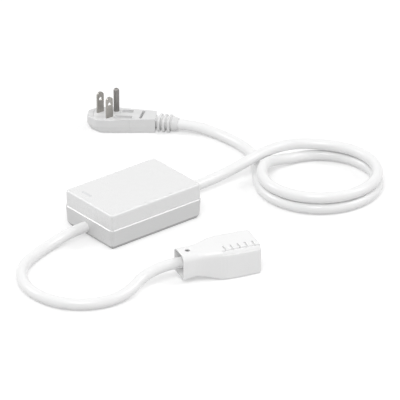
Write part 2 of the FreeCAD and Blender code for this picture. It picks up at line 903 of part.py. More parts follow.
def make_transformer_bobbin():
    leg = around_transformer(core_centre_leg + 0.1, core_half_depth + 0.1,
                             winding_bottom - 1, winding_top + 1)
    sleeve = around_transformer(core_centre_leg + sleeve_wall_and_gap, core_half_depth + sleeve_wall_and_gap,
                                winding_bottom + 0.05, winding_top - 0.05)
    low = around_transformer(cheek_half, cheek_half_depth,
                             winding_bottom + 0.05, winding_bottom + 0.05 + cheek_thickness)
    high = around_transformer(cheek_half, cheek_half_depth,
                              winding_top - 0.05 - cheek_thickness, winding_top - 0.05)
    base = around_transformer(core_half_width, cheek_half_depth, board_top, core_bottom - 0.05)
    ends = around_transformer(cheek_half, cheek_half_depth, board_top, winding_bottom + 0.6)
    ends = ends.cut(around_transformer(core_half_width + 1, core_half_depth + 0.1,
                                       core_bottom - 0.05, winding_top))
    return unite([sleeve.cut(leg), low.cut(leg), high.cut(leg), base, ends])


def make_transformer_winding():
    ring = around_transformer(cheek_half - 0.2, winding_half_depth, winding_bottom + 0.65, winding_top - 0.65)
    return ring.cut(around_transformer(core_centre_leg + 0.75, core_half_depth + 0.75,
                                       winding_bottom, winding_top))


save_later["fuse"] = make_fuse()
save_later["fuse_clips"] = make_fuse_clips()
save_later["varistor"] = make_varistor()
save_later["film_capacitor"] = make_film_capacitor()
save_later["bulk_capacitors"] = make_bulk_capacitors()
save_later["transformer_core"] = make_transformer_core()
save_later["transformer_bobbin"] = make_transformer_bobbin()
save_later["transformer_winding"] = make_transformer_winding()


# Control: chips, resistors, radio board under its shield, and the status LED

def make_control_chips():
    controller = block(controller_x0, controller_x0 + controller_side,
                       controller_y0, controller_y0 + controller_side,
                       board_top, board_top + controller_height)
    driver = block(driver_x0, driver_x0 + driver_length, driver_y0, driver_y0 + driver_width,
                   board_top + 0.1, board_top + 0.1 + driver_height)
    legs = [block(x, x + 0.5, y, y + 1.0, board_top, board_top + 0.7)
            for x in driver_leg_places for y in (driver_y0 - 0.8, driver_y0 + driver_width - 0.2)]
    return group([controller, unite([driver] + legs)])


def make_chip_resistors():
    return group([block(resistor_x0, resistor_x0 + resistor_length, y, y + resistor_width,
                        board_top, board_top + resistor_height) for y in resistor_rows])


def make_radio_board():
    top = board_top + radio_thickness
    far = radio_y0 + radio_depth - 1.0
    board = block(radio_x0, radio_x0 + radio_length, radio_y0, radio_y0 + radio_depth, board_top, top)
    antenna = block(radio_x0 + antenna_margin, radio_x0 + radio_length - antenna_margin,
                    far - antenna_depth, far, top, top + antenna_height)
    return board.fuse(antenna)


def make_radio_shield():
    bottom = board_top + radio_thickness
    top = bottom + shield_height
    can = block(radio_x0 + shield_margin, radio_x0 + radio_length - shield_margin,
                radio_y0 + shield_margin, radio_y0 + shield_margin + shield_depth, bottom, top)
    return can.makeFillet(0.4, edges_where(can, lambda p: p.z > top - 0.01))


def make_status_led():
    base = block(status_led_x - 1.5, status_led_x + 1.5, window_y - 1.0, window_y + 1.0,
                 board_top, board_top + 0.7)
    lens = rod(0.8, Vec(status_led_x, window_y, board_top + 0.7),
               Vec(status_led_x, window_y, board_top + status_led_height))
    return unite([base, lens])


save_later["chip_packages"] = group([make_bridge_rectifier(), make_control_chips()])
save_later["chip_resistors"] = make_chip_resistors()
save_later["radio_board"] = make_radio_board()
save_later["radio_shield"] = make_radio_shield()
save_later["status_led"] = make_status_led()


# Tact switch, its plunger and the pairing button in the far wall

button_outer = half_width - lower_draft - button_recess
button_inner = inner_y - button_rest_gap
tact_face = board_y1
plunger_tip = tact_face + tact_plunger_out


def make_tact_switch():
    body = block(button_x - tact_side / 2, button_x + tact_side / 2, tact_face - tact_side, tact_face,
                 board_top, board_top + tact_height)
    bore = rod(tact_plunger_radius + fit_clearance,
               Vec(button_x, tact_face - tact_plunger_in - button_travel - 0.3, button_z),
               Vec(button_x, tact_face + 1, button_z))
    return body.cut(bore)


def make_tact_plunger():
    return rod(tact_plunger_radius, Vec(button_x, tact_face - tact_plunger_in, button_z),
               Vec(button_x, plunger_tip, button_z))


def make_pairing_button():
    cap = rod(button_radius, Vec(button_x, button_inner, button_z), Vec(button_x, button_outer, button_z))
    cap = cap.makeFillet(0.5, edges_where(cap, lambda p: p.y > button_outer - 0.01))
    flange = rod(button_radius + button_flange,
                 Vec(button_x, button_inner - button_flange_thickness, button_z),
                 Vec(button_x, button_inner, button_z))
    stem = rod(button_stem_radius, Vec(button_x, plunger_tip, button_z),
               Vec(button_x, button_inner, button_z))
    return unite([cap, flange, stem])


save_later["tact_switch"] = make_tact_switch()
save_later["tact_plunger"] = make_tact_plunger()
save_later["pairing_button"] = make_pairing_button()


# Relay: base, coil on an L-shaped yoke, armature hinged on the yoke's edge, and contacts

case_inner_x0 = relay_x0 + relay_wall
case_inner_x1 = relay_x1 - relay_wall
relay_floor = board_top + relay_base_height
yoke_x0 = case_inner_x0 + 2.4
core_x = relay_x + core_offset
armature_bottom = board_top + armature_height
hinge_x = yoke_x0 + yoke_thickness / 2
swing_slope = math.tan(math.radians(armature_swing))
core_top = armature_bottom - (core_x + core_head_radius - hinge_x) * swing_slope - contact_gap
armature_x1 = yoke_x0 + armature_reach
contact_x = armature_x1 + contact_overhang
rivet_bottom = armature_bottom + 0.2
fixed_rivet_top = rivet_bottom - (contact_x + contact_radius - hinge_x) * swing_slope - contact_gap


def make_relay_case():
    outer = block(relay_x0, relay_x1, relay_y0, relay_y1, board_top, board_top + relay_height)
    outer = outer.makeFillet(0.6, edges_where(outer, lambda p: p.z > board_top + relay_height - 0.01))
    inner = block(case_inner_x0, case_inner_x1, relay_y0 + relay_wall, relay_y1 - relay_wall,
                  board_top, board_top + relay_height - relay_wall)
    return outer.cut(inner)


def make_relay_base():
    edge = 0.05
    base = block(case_inner_x0 + edge, case_inner_x1 - edge, relay_y0 + relay_wall + edge,
                 relay_y1 - relay_wall - edge, board_top, relay_floor)
    return base.cut(group([rod(pin_radius + thread_clearance, Vec(x, y, board_top), Vec(x, y, relay_floor))
                           for x, y in relay_pin_places]))


def make_relay_yoke():
    y0 = relay_y - yoke_width / 2
    y1 = relay_y + yoke_width / 2
    foot = block(yoke_x0, core_x + core_head_radius, y0, y1, relay_floor, relay_floor + yoke_thickness)
    leg = block(yoke_x0, yoke_x0 + yoke_thickness, y0, y1, relay_floor, armature_bottom - armature_gap)
    return foot.fuse(leg).removeSplitter()


def make_relay_core():
    foot = Vec(core_x, relay_y, relay_floor + yoke_thickness)
    stem = rod(core_radius, foot, Vec(core_x, relay_y, core_top))
    head = rod(core_head_radius, Vec(core_x, relay_y, core_top - core_head_height),
               Vec(core_x, relay_y, core_top))
    return unite([stem, head])


bobbin_bottom = relay_floor + yoke_thickness + 0.05
bobbin_top = core_top - core_head_height - 0.05


def make_relay_bobbin():
    half = bobbin_side / 2
    cheeks = [block(core_x - half, core_x + half, relay_y - half, relay_y + half, z, z + bobbin_cheek)
              for z in (bobbin_bottom, bobbin_top - bobbin_cheek)]
    sleeve = rod(core_radius + bobbin_wall, Vec(core_x, relay_y, bobbin_bottom),
                 Vec(core_x, relay_y, bobbin_top))
    bore = rod(core_radius + thread_clearance, Vec(core_x, relay_y, bobbin_bottom - 1),
               Vec(core_x, relay_y, bobbin_top + 1))
    return unite(cheeks + [sleeve]).cut(bore)


def make_relay_winding():
    low = Vec(core_x, relay_y, bobbin_bottom + bobbin_cheek + 0.02)
    high = Vec(core_x, relay_y, bobbin_top - bobbin_cheek - 0.02)
    return rod(winding_radius, low, high).cut(rod(core_radius + bobbin_wall + 0.02, low, high))


def make_relay_armature():
    return block(yoke_x0, armature_x1, relay_y - yoke_width / 2, relay_y + yoke_width / 2,
                 armature_bottom, armature_bottom + armature_thickness)


def make_moving_contact():
    leaf_z = armature_bottom + armature_thickness
    leaf = block(yoke_x0 + 3.5, contact_x + contact_radius, relay_y - contact_width / 2,
                 relay_y + contact_width / 2, leaf_z, leaf_z + contact_leaf)
    rivet = rod(contact_radius, Vec(contact_x, relay_y, rivet_bottom), Vec(contact_x, relay_y, leaf_z))
    return unite([leaf, rivet])


def make_fixed_contact():
    strip_x1 = case_inner_x1 - 0.2
    strip = 0.5
    y0 = relay_y - contact_width / 2
    y1 = relay_y + contact_width / 2
    tab_top = fixed_rivet_top - 0.5
    post = block(strip_x1 - strip, strip_x1, y0, y1, relay_floor, tab_top)
    tab = block(contact_x - contact_radius, strip_x1, y0, y1, tab_top - strip, tab_top)
    rivet = rod(contact_radius, Vec(contact_x, relay_y, tab_top), Vec(contact_x, relay_y, fixed_rivet_top))
    return unite([post, tab, rivet])


def make_relay_pins():
    return group([rod(pin_radius, Vec(x, y, relay_pin_bottom), Vec(x, y, relay_floor))
                  for x, y in relay_pin_places])


save_later["relay_case"] = make_relay_case()
save_later["relay_base"] = make_relay_base()
save_later["relay_yoke"] = make_relay_yoke()
save_later["relay_core"] = make_relay_core()
save_later["relay_bobbin"] = make_relay_bobbin()
save_later["relay_winding"] = make_relay_winding()
save_later["relay_armature"] = make_relay_armature()
save_later["relay_moving_contact"] = make_moving_contact()
save_later["relay_fixed_contact"] = make_fixed_contact()
save_later["relay_pins"] = make_relay_pins()


# Flat plug, drawn with its cord along +X and its prongs up, then set down where it lies

def placed(shape, place, heading):
    moved = shape.copy()
    moved.Placement = FreeCAD.Placement(place, FreeCAD.Rotation(UP, heading)).multiply(shape.Placement)
    return moved


def place_point(local, place, heading):
    return FreeCAD.Placement(place, FreeCAD.Rotation(UP, heading)).multVec(local)


turn_of_prongs = math.radians(prong_turn)
along_ground = Vec(math.cos(turn_of_prongs), math.sin(turn_of_prongs), 0)
along_blades = Vec(-along_ground.y, along_ground.x, 0)
blades_middle = Vec(blades_x, blades_y, 0)
line_place = blades_middle + along_blades * (blade_spacing / 2)
neutral_place = blades_middle - along_blades * (blade_spacing / 2)
ground_place = blades_middle + along_ground * ground_offset
root_z = plug_height - pin_root
plug_jacket_end = plug_tail - plug_jacket_depth
relief_ahead = Vec(math.cos(math.radians(relief_bend)), math.sin(math.radians(relief_bend)), 0)
relief_root = Vec(plug_tail, 0, plug_cord_z)
relief_end = relief_root + relief_ahead * relief_length


def make_blade(place, extra):
    """One prong, with a clearance added all round when it is used to cut its seat."""
    half_w = blade_width / 2 + extra
    half_t = blade_thickness / 2 + extra
    tip_z = plug_height + blade_length - half_w
    flat = block(-half_w, half_w, -half_t, half_t, root_z - extra, tip_z)
    tip = rod(half_w, Vec(0, -half_t, tip_z), Vec(0, half_t, tip_z))
    eye = rod(blade_hole_radius, Vec(0, -1 - half_t, plug_height + blade_hole_height),
              Vec(0, 1 + half_t, plug_height + blade_hole_height))
    blade = flat.fuse(tip).removeSplitter()
    if extra == 0:
        blade = blade.cut(eye)
    blade.Placement = FreeCAD.Placement(place, FreeCAD.Rotation(UP, math.degrees(turn_of_prongs)))
    return blade


def make_ground_pin(extra):
    foot = Vec(ground_place.x, ground_place.y, root_z - extra)
    face = Vec(ground_place.x, ground_place.y, plug_height)
    tip = Vec(ground_place.x, ground_place.y, plug_height + ground_length - ground_radius)
    root = rod(ground_root_radius + extra, foot, face)
    stem = rod(ground_radius + extra, face, tip)
    return unite([root, stem, Part.makeSphere(ground_radius + extra, tip)])


def plug_wire_ends():
    """Start of each conductor at the jacket, and where it meets the root of its prong."""
    ends = []
    for place, across, reach in ((line_place, 0.0, blade_width / 2),
                                 (neutral_place, -plug_wire_spread, blade_width / 2),
                                 (ground_place, plug_wire_spread, ground_root_radius)):
        start = Vec(plug_jacket_end - plug_wire_gap, across, plug_cord_z)
        target = Vec(place.x, place.y, plug_cord_z)
        ends.append((start, target - unit(target - start) * (reach + plug_wire_gap)))
    return ends


def make_plug_conductors(extra):
    return group([rod(lead_radius + extra, start, end) for start, end in plug_wire_ends()])


def carrier_envelope(extra, top):
    return rounded_block(-carrier_front - extra, carrier_back + extra, -carrier_half_width - extra,
                         carrier_half_width + extra, carrier_floor - extra, top, carrier_corner + extra)


def make_plug_carrier():
    carrier = carrier_envelope(0, plug_height)
    seats = [make_blade(line_place, thread_clearance), make_blade(neutral_place, thread_clearance),
             make_ground_pin(thread_clearance)]
    carrier = carrier.makeChamfer(0.35, edges_where(carrier, lambda p: p.z > plug_height - 0.01))
    carrier = carrier.cut(plug_trench(trench_near_front, -1))
    return carrier.cut(group(seats)).cut(make_plug_conductors(thread_clearance))


def rounded_polygon(corners, radii):
    """A closed outline with an arc of the given radius at each corner, or a sharp corner at 0."""
    bends = []
    befores = corners[-1:] + corners[:-1]
    afters = corners[1:] + corners[:1]
    for before, corner, after, radius in zip(befores, corners, afters, radii):
        back = unit(before - corner)
        ahead = unit(after - corner)
        half_turn = (math.pi - back.getAngle(ahead)) / 2
        reach = radius * math.tan(half_turn)
        middle = corner + unit(back + ahead) * (radius / math.cos(half_turn) - radius)
        bends.append((corner + back * reach, middle, corner + ahead * reach))
    edges = []
    for (start, middle, end), (next_start, _, _), radius in zip(bends, bends[1:] + bends[:1], radii):
        if radius > 0:
            edges.append(Part.Arc(start, middle, end).toShape())
        edges.append(Part.makeLine(end, next_start))
    return Part.Wire(edges)


def plug_outline(z, nose, front_half, side_start, half):
    """The plug seen from its prong side: a three-sided nose, straight sides and a tapering tail."""
    near = [Vec(-nose, -front_half, z), Vec(side_start, -half, z), Vec(plug_shoulder, -half, z),
            Vec(plug_tail, -plug_tail_half_width, z)]
    far = [Vec(corner.x, -corner.y, z) for corner in reversed(near)]
    radii = [nose_front_radius, nose_side_radius, 0, 0]
    return rounded_polygon(near + far, radii + radii[::-1])


def plug_trench(x0, side):
    y0, y1 = sorted((side * spine_half_width, side * trench_half_width))
    return rounded_block(x0, trench_back, y0, y1, plug_height - trench_depth, plug_height + 1,
                         trench_corner)


def make_plug_body():
    high = plug_outline(nose_rise, plug_nose, nose_front_half, nose_side_start, plug_half_width)
    low = plug_outline(0, plug_nose - nose_inset, nose_low_front_half, nose_low_side_start,
                       plug_half_width - side_low_inset)
    upper = Part.Face(high).extrude(UP * (plug_height - nose_rise))
    body = unite([Part.makeLoft([low, high], True, True), upper])
    short_of_tail = plug_tail - 0.01
    low_edges = edges_where(body, lambda p: p.z < 0.01 and p.x < short_of_tail)
    body = body.makeFillet(plug_bottom_radius, low_edges)
    high_edges = edges_where(body, lambda p: p.z > plug_height - 0.01 and p.x < short_of_tail)
    body = body.makeFillet(plug_top_radius, high_edges)
    groove = block(-slot_width / 2, slot_width / 2, -slot_half_length, slot_half_length,
                   plug_height - slot_depth, plug_height + 1)
    groove.Placement = FreeCAD.Placement(Vec(slot_x, 0, 0), FreeCAD.Rotation(UP, -slot_slant))
    taper = (plug_half_width - plug_tail_half_width) / (plug_tail - plug_shoulder)
    line_y = plug_half_width - taper * (part_line_x - plug_shoulder) - part_line_depth
    part_lines = []
    for side in (-1, 1):
        y0, y1 = sorted((side * line_y, side * (plug_half_width + 1)))
        part_lines.append(block(part_line_x - part_line_width / 2, part_line_x + part_line_width / 2,
                                y0, y1, plug_bottom_radius, plug_height + 1))
    bore = jacket_in_relief(thread_clearance)
    seat = carrier_envelope(thread_clearance, plug_height + 1)
    trenches = [plug_trench(trench_near_front, -1), plug_trench(trench_far_front, 1)]
    body = body.cut(group([groove, bore] + part_lines)).cut(group(trenches))
    return body.cut(seat).cut(make_plug_conductors(thread_clearance))


def oval_rib(x):
    low = plug_height / 2 - relief_rib_corner
    face = Part.Face(rounded_rectangle(-plug_height / 2, plug_height / 2, -relief_rib_half_width,
                                       relief_rib_half_width, 0, relief_rib_corner))
    rib = face.extrude(Vec(0, 0, relief_rib_width))
    rib.Placement = FreeCAD.Placement(Vec(x, 0, low + relief_rib_corner), FreeCAD.Rotation(Vec(0, 1, 0), 90))
    return rib


def jacket_in_relief(extra):
    """The jacket from inside the plug to the end of the relief, which it leaves a little bent."""
    points = [Vec(plug_jacket_end, 0, plug_cord_z), relief_root, relief_end + relief_ahead * (extra * 20)]
    solid, _, _ = tube(points, cord_radius + extra)
    return solid


def make_plug_relief():
    back = 2.0
    core = rod(cord_radius + relief_core_wall, Vec(plug_tail - back, 0, plug_cord_z),
               Vec(plug_tail + relief_length - 2.0, 0, plug_cord_z))
    ribs = [oval_rib(plug_tail + relief_first_rib + i * relief_rib_pitch) for i in range(relief_ribs)]
    ribs = [rib.makeFillet(0.5, rib.Edges) for rib in ribs]
    cone_x = plug_tail + relief_first_rib + relief_ribs * relief_rib_pitch - 0.6
    thick = cord_radius + relief_cone_wall
    cone = Part.makeCone(thick, cord_radius + relief_wall, plug_tail + relief_length - cone_x,
                         Vec(cone_x, 0, plug_cord_z), Vec(1, 0, 0))
    cone = cone.common(block(cone_x - 1, plug_tail + relief_length + 1, -thick, thick,
                             relief_clearance, plug_height - relief_clearance))
    relief = unite([core, cone] + ribs)
    relief.rotate(relief_root, UP, relief_bend)
    outside_body = block(plug_tail, plug_tail + relief_length + 5, -20, 20, -1, plug_height + 1)
    return relief.common(outside_body).cut(jacket_in_relief(thread_clearance))


plug_pieces = {
    "plug_body": make_plug_body(),
    "plug_pin_carrier": make_plug_carrier(),
    "plug_strain_relief": make_plug_relief(),
    "plug_conductors": make_plug_conductors(0),
    "line_blade": make_blade(line_place, 0),
    "neutral_blade": make_blade(neutral_place, 0),
    "ground_pin": make_ground_pin(0),
}
for node, shape in plug_pieces.items():
    save_later[node] = placed(shape, plug_place, plug_heading)


# Connector, drawn from its cord end along +X to its face, then set down where it lies

insert_z = head_height / 2
ground_socket_z = blade_row_z + ground_offset
insert_face = connector_length - insert_setback
insert_back = insert_face - insert_length
contact_back = insert_back + insert_wall + 1.0


def upright_section(x, half_w, z0, z1, radius, low_radius=None):
    """A rounded rectangle across the connector at x."""
    wire = rounded_rectangle(-half_w, half_w, z0, z1, 0, radius, low_radius)
    wire.Placement = FreeCAD.Placement(Vec(x, 0, 0), FreeCAD.Rotation(Vec(1, 1, 1), 120))
    return wire


def skin_section(x, inset):
    """The moulding's outline at x: a neck that eases into the barrelled head, drawn in by inset."""
    share = min(max((x - flare_start) / (flare_end - flare_start), 0), 1)
    share = share * share * (3 - 2 * share)
    off_middle = min(abs(x - bulge_middle) / bulge_reach, 1)
    half_w = neck_half_width + (head_half_width - neck_half_width) * share
    half_w += head_bulge * (1 - off_middle * off_middle) ** 2
    top = neck_top + (head_height - neck_top) * share
    corner = neck_corner + (head_corner - neck_corner) * share
    low_corner = neck_low_corner + (head_low_corner - neck_low_corner) * share
    bottom = (neck_bottom + neck_rise * min(x / flare_start, 1)) * (1 - share)
    return upright_section(x, half_w - inset, bottom + inset, top - inset,
                           corner - inset, max(low_corner - inset, 0.3))


def connector_skin(inset=0.0):
    rim = connector_length - connector_edge_radius
    flare = [flare_start + (flare_end - flare_start) * i / 9 for i in range(10)]
    head = [flare_end + (rim - flare_end) * i / 6 for i in range(1, 6)]
    sections = [skin_section(x, inset) for x in [0.0] + flare + head]
    for degrees in (0, 25, 50, 70, 90):
        angle = math.radians(degrees)
        sections.append(skin_section(rim + connector_edge_radius * math.sin(angle),
                                     inset + connector_edge_radius * (1 - math.cos(angle))))
    return Part.makeLoft(sections, True, True)


def rounded_bar(x0, x1, half_w, z0, z1, radius):
    return Part.Face(upright_section(x0, half_w, z0, z1, radius)).extrude(Vec(x1 - x0, 0, 0))


def connector_wires(extra):
    """Three conductors from the jacket, bent across to their contacts."""
    spread = connector_wire_spread
    low = -connector_wire_low
    solids = []
    for target_y, target_z, start_y, start_z in ((blade_spacing / 2, blade_row_z, spread, low),
                                                 (-blade_spacing / 2, blade_row_z, -spread, low),
                                                 (0.0, ground_socket_z, 0.0, connector_wire_high)):
        x0 = connector_jacket_depth
        z0 = connector_cord_z + start_z
        points = [Vec(x0, start_y, z0),
                  Vec(x0 + connector_wire_straight, start_y, z0),
                  Vec(insert_back - connector_wire_run_in, target_y, target_z),
                  Vec(contact_back - 0.3, target_y, target_z)]
        solid, _, _ = tube(points, lead_radius + extra)
        solids.append(solid)
    return group(solids)


def make_grip_cuts():
    """A step along each shoulder, and a row of short grooves in the top beside the near one."""
    over_steps = []
    over_grooves = []
    high = head_height + 1
    for side in (-1, 1):
        y0, y1 = sorted((side * grip_outer, side * (head_half_width + head_bulge + 1)))
        over_steps.append(block(grip_step_start, connector_length + 1, y0, y1, grip_step_low, high))
    for i in range(grip_grooves):
        x = grip_groove_first + i * grip_groove_pitch
        over_grooves.append(block(x, x + grip_groove_width, -grip_outer - 0.1, -grip_inner,
                                  head_height / 2, high))
    steps = group(over_steps).cut(connector_skin(grip_step_depth))
    grooves = group(over_grooves).cut(connector_skin(grip_groove_depth))
    return steps, grooves


def make_connector_body():
    body = connector_skin()
    bore = rod(cord_radius + thread_clearance, Vec(-1, 0, connector_cord_z),
               Vec(connector_jacket_depth, 0, connector_cord_z))
    seat_half = insert_height / 2 + fit_clearance
    seat = rounded_bar(insert_back - fit_clearance, connector_length + 1, insert_half_width + fit_clearance,
                       insert_z - seat_half, insert_z + seat_half, insert_corner + fit_clearance)
    hole_z = neck_top - core_hole_depth
    core_hole = rod(core_hole_radius, Vec(core_hole_x, 0, hole_z), Vec(core_hole_x, 0, neck_top + 1))
    recess = connector_skin(neck_recess_wall)
    recess.translate(Vec(-0.5, 0, 0))
    recess = recess.common(block(-1, neck_recess_depth, -head_half_width, head_half_width, -1, head_height))
    body = body.cut(group([bore, core_hole])).cut(recess).cut(seat)
    steps, grooves = make_grip_cuts()
    return body.cut(steps).cut(grooves).cut(connector_wires(thread_clearance))


def make_connector_insert():
    half = insert_height / 2
    solid = rounded_bar(insert_back, insert_face, insert_half_width,
                        insert_z - half, insert_z + half, insert_corner)
    front_wall = insert_face - insert_wall
    behind = insert_back - 1
    cuts = []
    for y in (-blade_spacing / 2, blade_spacing / 2):
        cuts.append(block(behind, front_wall, y - contact_room, y + contact_room,
                          blade_row_z - slot_opening_height / 2, blade_row_z + slot_opening_height / 2))
        cuts.append(block(front_wall - 1, insert_face + 1, y - slot_opening / 2, y + slot_opening / 2,
                          blade_row_z - slot_opening_height / 2, blade_row_z + slot_opening_height / 2))
    sleeve_room = ground_radius + sleeve_clearance + sleeve_wall + 0.05
    cuts.append(rod(sleeve_room, Vec(behind, 0, ground_socket_z), Vec(front_wall, 0, ground_socket_z)))
    cuts.append(rod(ground_mouth_radius, Vec(front_wall - 1, 0, ground_socket_z),
                    Vec(insert_face + 1, 0, ground_socket_z)))
    return solid.cut(group(cuts))


def make_blade_contact(y):
    height = slot_opening_height - 1.0
    z0 = blade_row_z - height / 2
    back = block(contact_back, contact_back + contact_sheet, y - contact_room + 0.1, y + contact_room - 0.1,
                 z0, z0 + height)
    inner = blade_thickness / 2
    leaves = []
    for side in (-1, 1):
        y0, y1 = sorted((y + side * (inner + 0.02), y + side * (inner + 0.02 + contact_sheet)))
        leaves.append(block(contact_back, contact_back + contact_length, y0, y1, z0, z0 + height))
    return unite([back] + leaves)


def make_ground_contact():
    inner = ground_radius + sleeve_clearance
    start = Vec(contact_back, 0, ground_socket_z)
    end = start + Vec(sleeve_length, 0, 0)
    sleeve = rod(inner + sleeve_wall, start, end).cut(rod(inner, start + Vec(sleeve_wall, 0, 0), end))
    return sleeve


def make_connector_jacket_end():
    return rod(cord_radius, Vec(0, 0, connector_cord_z), Vec(connector_jacket_depth, 0, connector_cord_z))


connector_pieces = {
    "connector_body": make_connector_body(),
    "connector_insert": make_connector_insert(),
    "line_contact": make_blade_contact(blade_spacing / 2),
    "neutral_contact": make_blade_contact(-blade_spacing / 2),
    "ground_contact": make_ground_contact(),
    "connector_conductors": connector_wires(0),
}
for node, shape in connector_pieces.items():
    save_later[node] = placed(shape, connector_place, connector_heading)
save_later["moulded_jacket_ends"] = group([
    placed(jacket_in_relief(0), plug_place, plug_heading),
    placed(make_connector_jacket_end(), connector_place, connector_heading),
])


# Cords: the input cord's lead, its two stacked loops and its tail, and the output cord

floor_z = cord_radius
upper_z = cord_radius + cord_diameter + coil_layer_gap


def eased(value, low, high):
    share = min(max((value - low) / (high - low), 0), 1)
    return share * share * (3 - 2 * share)


def coil_point(turned):
    """The loops' centreline, clockwise from above, after this many degrees of turning.

    The lead comes in from a little outside. The loop tucks in where it passes over the tail,
    drops to the floor within its own width and goes round once more below itself.
    """
    share = eased(turned, blend_start, blend_end)
    centre = coil_centre_top * (1 - share) + coil_centre_floor * share
    radius = coil_radius_top * (1 - share) + coil_radius_floor * share
    radius += coil_entry_out * (1 - eased(turned, 0, entry_end))
    radius -= coil_tuck * (eased(turned, tuck_start, tuck_full) - eased(turned, tuck_easing, tuck_end))
    angle = math.radians(90 - turned)
    height = coil_entry_z + (upper_z - coil_entry_z) * eased(turned, 0, settle_end)
    height -= (upper_z - floor_z) * eased(turned, drop_start, drop_end)
    return Vec(centre.x + radius * math.cos(angle), centre.y + radius * math.sin(angle), height)


def coil_heading(turned):
    return unit(coil_point(turned + 0.01) - coil_point(turned - 0.01))


def biarc(start, start_heading, end, end_heading):
    """Two arcs that leave start and reach end along the given headings."""
    span = end - start
    both = start_heading + end_heading
    flatness = 2 * (1 - start_heading.dot(end_heading))
    reach = (-span.dot(both) + math.sqrt(span.dot(both) ** 2 + flatness * span.dot(span))) / flatness
    first_corner = start + start_heading * reach
    second_corner = end - end_heading * reach
    joint = (first_corner + second_corner) * 0.5
    return [corner_arc(start, first_corner, joint), corner_arc(joint, second_corner, end)]


def corner_arc(start, corner, end):
    """The arc tangent to both legs of a corner whose legs are equally long."""
    back = unit(start - corner)
    ahead = unit(end - corner)
    half_turn = (math.pi - back.getAngle(ahead)) / 2
    radius = (start - corner).Length / math.tan(half_turn)
    middle = corner + unit(back + ahead) * (radius / math.cos(half_turn) - radius)
    return Part.Arc(start, middle, end).toShape()


def make_coil():
    stops = [0, 25, settle_end, 120, 180, 245, 290, drop_start, 334, 348, 362, drop_end, 403, blend_end,
             510, 590, coil_turned]
    entry = coil_point(0)
    entry_heading = Vec(1, 0, 0)
    exit_point = coil_point(coil_turned)
    exit_heading = Vec(coil_heading(coil_turned).x, coil_heading(coil_turned).y, 0).normalize()
    headings = [entry_heading] + [coil_heading(stop) for stop in stops[1:-1]] + [exit_heading]
    edges = [Part.LineSegment(entry - entry_heading * cord_diameter, entry).toShape()]
    for low, high, heading, next_heading in zip(stops, stops[1:], headings, headings[1:]):
        edges += biarc(coil_point(low), heading, coil_point(high), next_heading)
    coil_end = exit_point + exit_heading * cord_diameter
    edges.append(Part.LineSegment(exit_point, coil_end).toShape())
    solid, length = sweep(edges, cord_radius)
    return solid, length, edges, entry - entry_heading * cord_diameter, coil_end, exit_heading


def least_gap(edges):
    """Least distance between the coil's surface and itself, more than a third of a turn apart."""
    points = []
    for edge in edges:
        steps = max(int(edge.Length / 2), 2)
        span = edge.LastParameter - edge.FirstParameter
        points += [edge.valueAt(edge.FirstParameter + span * i / steps) for i in range(steps)]
    apart = int(coil_radius_top * 2 * math.pi / 3 / 2)
    return min((a - b).Length for i, a in enumerate(points) for b in points[i + apart:]) - cord_diameter


def report(name, solid, length, radii):
    section = math.pi * cord_radius ** 2
    ratio = solid.Volume / (section * length)
    print("%s: length %.1f mm, volume over section x length %.4f" % (name, length, ratio))
    if radii:
        print("   arc radii, mm:", " ".join("%.0f" % radius for radius in radii))


coil, coil_length, coil_edges, coil_start, coil_end, coil_exit_heading = make_coil()
save_later["input_cord_coil"] = coil
report("input_cord_coil", coil, coil_length, [edge.Curve.Radius for edge in coil_edges[1:-1]])
print("   least gap of the coil to itself: %.2f mm" % least_gap(coil_edges))

input_exit = Vec(half_length, cord_exit_y, cord_exit_z)
lead_route = [input_exit] + hump_points + [coil_start]
plug_entry = place_point(relief_end, plug_place, plug_heading)
plug_approach = place_point(relief_end + relief_ahead * 15.0, plug_place, plug_heading)
tail_route = [coil_end, coil_end + coil_exit_heading * 17.0] + tail_points + [plug_approach, plug_entry]
output_exit = Vec(-half_length, cord_exit_y, cord_exit_z)
connector_entry = place_point(Vec(0, 0, connector_cord_z), connector_place, connector_heading)
connector_approach = place_point(Vec(-13.0, 0, connector_cord_z), connector_place, connector_heading)
output_route = [output_exit] + output_points + [connector_approach, connector_entry]

routes = {"input_cord_lead": lead_route, "input_cord_tail": tail_route, "output_cord": output_route}
for node, route in routes.items():
    solid, length, radii = tube(route, cord_radius)
    save_later[node] = solid
    report(node, solid, length, radii)
    runs = [(b - a).Length for a, b in zip(route, route[1:])]
    print("   runs, mm:", " ".join("%.0f" % run for run in runs))

os.makedirs("parts", exist_ok=True)
for node, shape in save_later.items():
    save(node, shape)
print("%d nodes" % len(save_later))
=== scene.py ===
"""In-line smart switch module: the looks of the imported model, in metres and in its own frame.

The box stands on z = 0 with its middle over the origin, +X towards the input cord.
"""
import math

import bpy
from mathutils import Matrix, Vector


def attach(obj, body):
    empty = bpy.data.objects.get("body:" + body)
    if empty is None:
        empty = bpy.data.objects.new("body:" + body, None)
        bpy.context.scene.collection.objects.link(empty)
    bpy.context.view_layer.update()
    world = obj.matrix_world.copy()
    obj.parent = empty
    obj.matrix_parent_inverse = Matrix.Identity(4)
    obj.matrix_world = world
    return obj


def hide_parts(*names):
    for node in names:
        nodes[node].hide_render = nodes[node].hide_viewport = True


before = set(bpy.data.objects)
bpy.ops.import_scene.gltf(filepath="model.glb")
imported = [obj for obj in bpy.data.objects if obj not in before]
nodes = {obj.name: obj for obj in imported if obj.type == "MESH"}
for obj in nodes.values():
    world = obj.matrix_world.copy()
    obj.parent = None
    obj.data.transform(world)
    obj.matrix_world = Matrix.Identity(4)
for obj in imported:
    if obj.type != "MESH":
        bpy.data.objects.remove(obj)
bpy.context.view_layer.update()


# Camera: a long lens well back from the box and a little above it, turned so that the
# box's left end and long front side both show. It is moved a little right and up.
camera_turn = math.radians(39.205)
camera_tilt = math.radians(27.245)
camera_back = 3.13832
camera_right = 0.052141
camera_up = 0.016056
